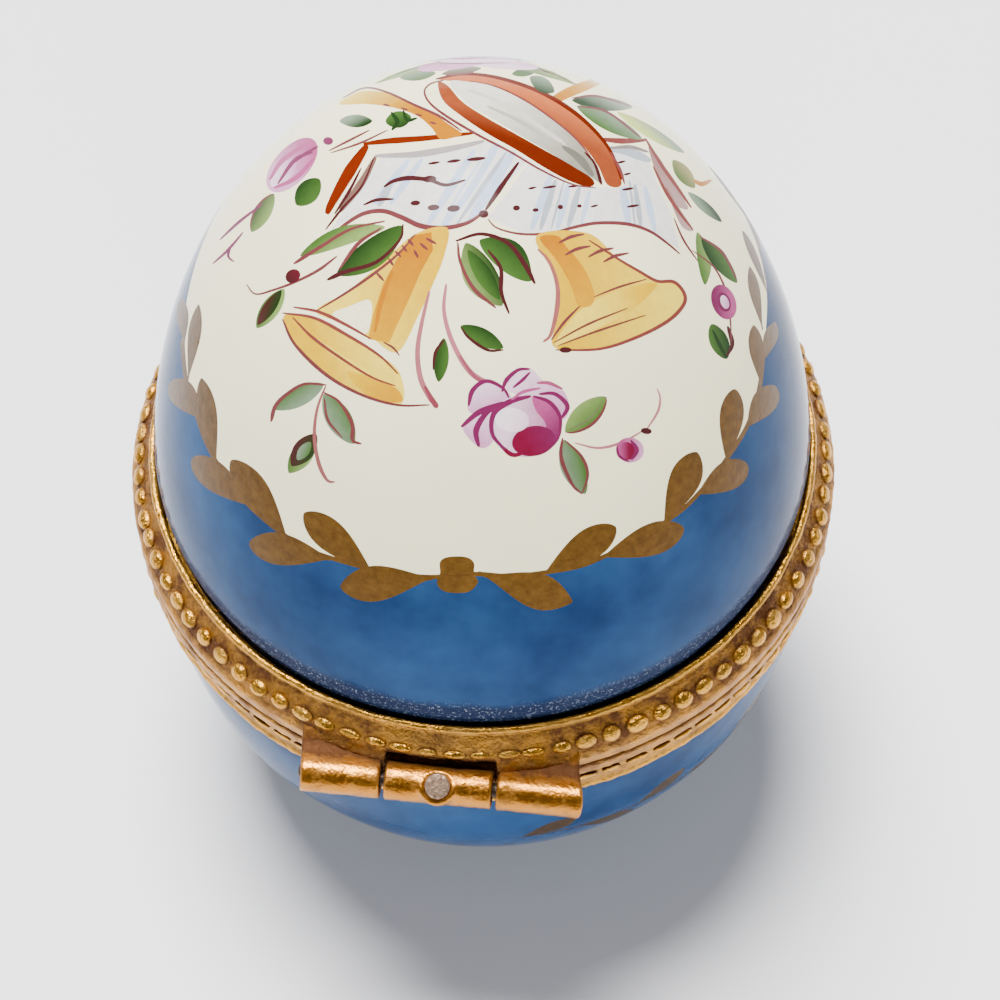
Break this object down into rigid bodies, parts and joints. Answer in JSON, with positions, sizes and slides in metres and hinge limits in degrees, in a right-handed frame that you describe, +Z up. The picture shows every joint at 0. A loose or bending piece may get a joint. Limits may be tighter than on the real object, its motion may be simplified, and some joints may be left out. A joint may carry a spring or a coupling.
{
  "type": "egg trinket box",
  "caption": "Porcelain egg-shaped trinket box in two hollow halves with beaded brass rims and a hinged lid, standing on a small flat foot.",
  "frame": {"origin": "centre of the flat foot, on the surface that the box stands on", "axes": "+Z up through the egg's tip, -Y towards the hinge, +X along the hinge's axis"},
  "size_m": [0.0458, 0.0477, 0.0573],
  "materials": {
    "base_glaze": "glossy blue glaze",
    "lid_glaze": "glossy painted glaze",
    "gilt_brass": "worn gilt brass",
    "pin_steel": "dull"
  },
  "bodies": {
    "base": {"base_porcelain": "base_glaze", "base_rim": "gilt_brass", "hinge_pin": "pin_steel", "hinge_rivet": "pin_steel"},
    "lid": {"lid_porcelain": "lid_glaze", "lid_rim": "gilt_brass"}
  },
  "joints": [
    {"name": "lid_hinge", "type": "hinge", "parent": "base", "child": "lid", "pos_m": [0, -0.0234, 0.0251], "axis": [1, 0, 0], "range_deg": [0, 105]}
  ]
}
